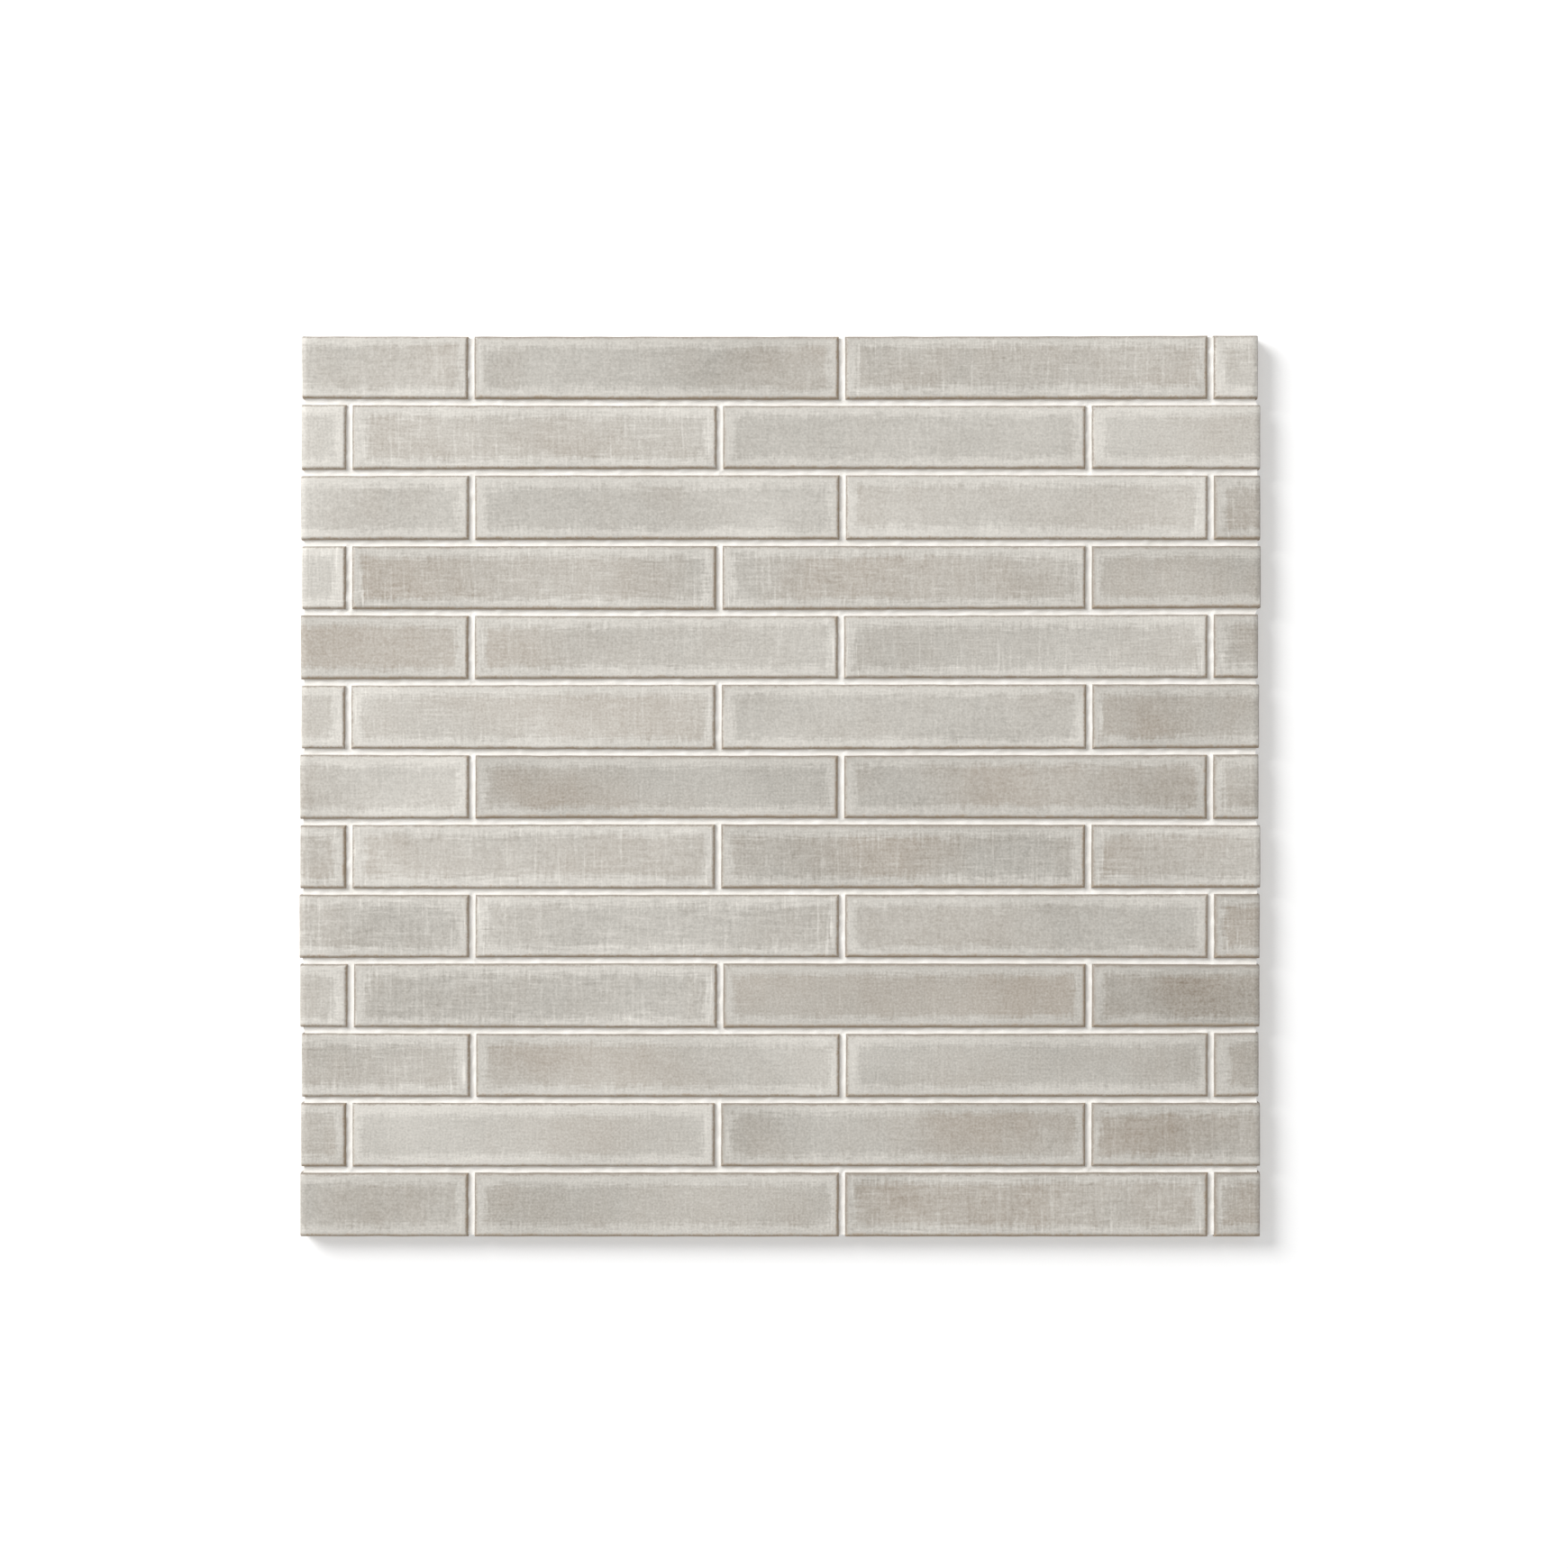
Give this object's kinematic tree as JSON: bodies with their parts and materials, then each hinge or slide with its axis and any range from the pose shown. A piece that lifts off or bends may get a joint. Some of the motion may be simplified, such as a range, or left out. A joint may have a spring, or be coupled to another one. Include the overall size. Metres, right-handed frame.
{
  "type": "mosaic tile sheet",
  "caption": "Grouted mosaic sheet of long narrow glazed ceramic tiles in a third bond on a glass-yarn backing mesh, with sawn ends.",
  "frame": {"origin": "middle of the sheet's underside, on the lower face of the backing mesh", "axes": "+X along the rows, +Y towards row 1, +Z out of the glazed faces"},
  "size_m": [0.302, 0.284, 0.008],
  "materials": {
    "glazed_tile": "satin",
    "grout": "matte",
    "backing_mesh": "matte"
  },
  "bodies": {
    "root": {"row01_left_cut": "glazed_tile", "row01_whole_1": "glazed_tile", "row01_whole_2": "glazed_tile", "row01_right_cut": "glazed_tile", "row02_left_cut": "glazed_tile", "row02_whole_1": "glazed_tile", "row02_whole_2": "glazed_tile", "row02_right_cut": "glazed_tile", "row03_left_cut": "glazed_tile", "row03_whole_1": "glazed_tile", "row03_whole_2": "glazed_tile", "row03_right_cut": "glazed_tile", "row04_left_cut": "glazed_tile", "row04_whole_1": "glazed_tile", "row04_whole_2": "glazed_tile", "row04_right_cut": "glazed_tile", "row05_left_cut": "glazed_tile", "row05_whole_1": "glazed_tile", "row05_whole_2": "glazed_tile", "row05_right_cut": "glazed_tile", "row06_left_cut": "glazed_tile", "row06_whole_1": "glazed_tile", "row06_whole_2": "glazed_tile", "row06_right_cut": "glazed_tile", "row07_left_cut": "glazed_tile", "row07_whole_1": "glazed_tile", "row07_whole_2": "glazed_tile", "row07_right_cut": "glazed_tile", "row08_left_cut": "glazed_tile", "row08_whole_1": "glazed_tile", "row08_whole_2": "glazed_tile", "row08_right_cut": "glazed_tile", "row09_left_cut": "glazed_tile", "row09_whole_1": "glazed_tile", "row09_whole_2": "glazed_tile", "row09_right_cut": "glazed_tile", "row10_left_cut": "glazed_tile", "row10_whole_1": "glazed_tile", "row10_whole_2": "glazed_tile", "row10_right_cut": "glazed_tile", "row11_left_cut": "glazed_tile", "row11_whole_1": "glazed_tile", "row11_whole_2": "glazed_tile", "row11_right_cut": "glazed_tile", "row12_left_cut": "glazed_tile", "row12_whole_1": "glazed_tile", "row12_whole_2": "glazed_tile", "row12_right_cut": "glazed_tile", "row13_left_cut": "glazed_tile", "row13_whole_1": "glazed_tile", "row13_whole_2": "glazed_tile", "row13_right_cut": "glazed_tile", "grout": "grout", "mesh_cross_yarns": "backing_mesh", "mesh_long_yarns": "backing_mesh"}
  },
  "joints": []
}
